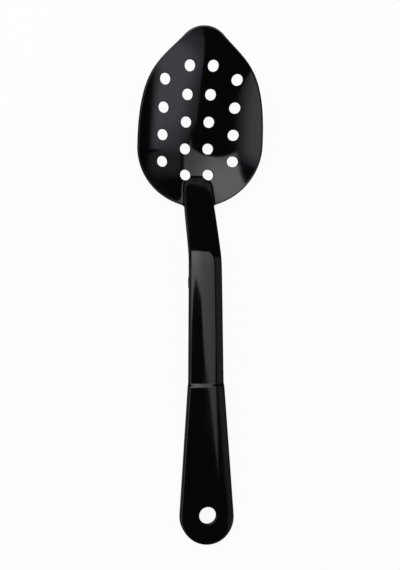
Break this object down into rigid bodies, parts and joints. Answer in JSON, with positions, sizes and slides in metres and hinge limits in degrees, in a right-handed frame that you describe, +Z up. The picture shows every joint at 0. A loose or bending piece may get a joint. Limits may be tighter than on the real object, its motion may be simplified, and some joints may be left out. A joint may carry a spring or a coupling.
{
  "type": "perforated serving spoon",
  "caption": "Moulded serving spoon: a pointed oval bowl with round drain holes, a cranked neck, a stepped thumb rest, a pan stop under the handle and a wide grip with a hanging hole",
  "frame": {"origin": "bottom centre of the bounding box, on the table that the spoon lies on", "axes": "+Y from the end of the handle to the tip of the bowl, +X to the right seen from the handle with the hollow of the bowl up, +Z up from the table"},
  "size_m": [0.0698, 0.277, 0.0438],
  "materials": {
    "body": "glossy black moulded polycarbonate, as it leaves a polished mould"
  },
  "bodies": {
    "root": {"bowl": "body", "neck": "body", "thumb_rest": "body", "thumb_stop": "body", "grip": "body", "pan_stop": "body"}
  },
  "joints": []
}
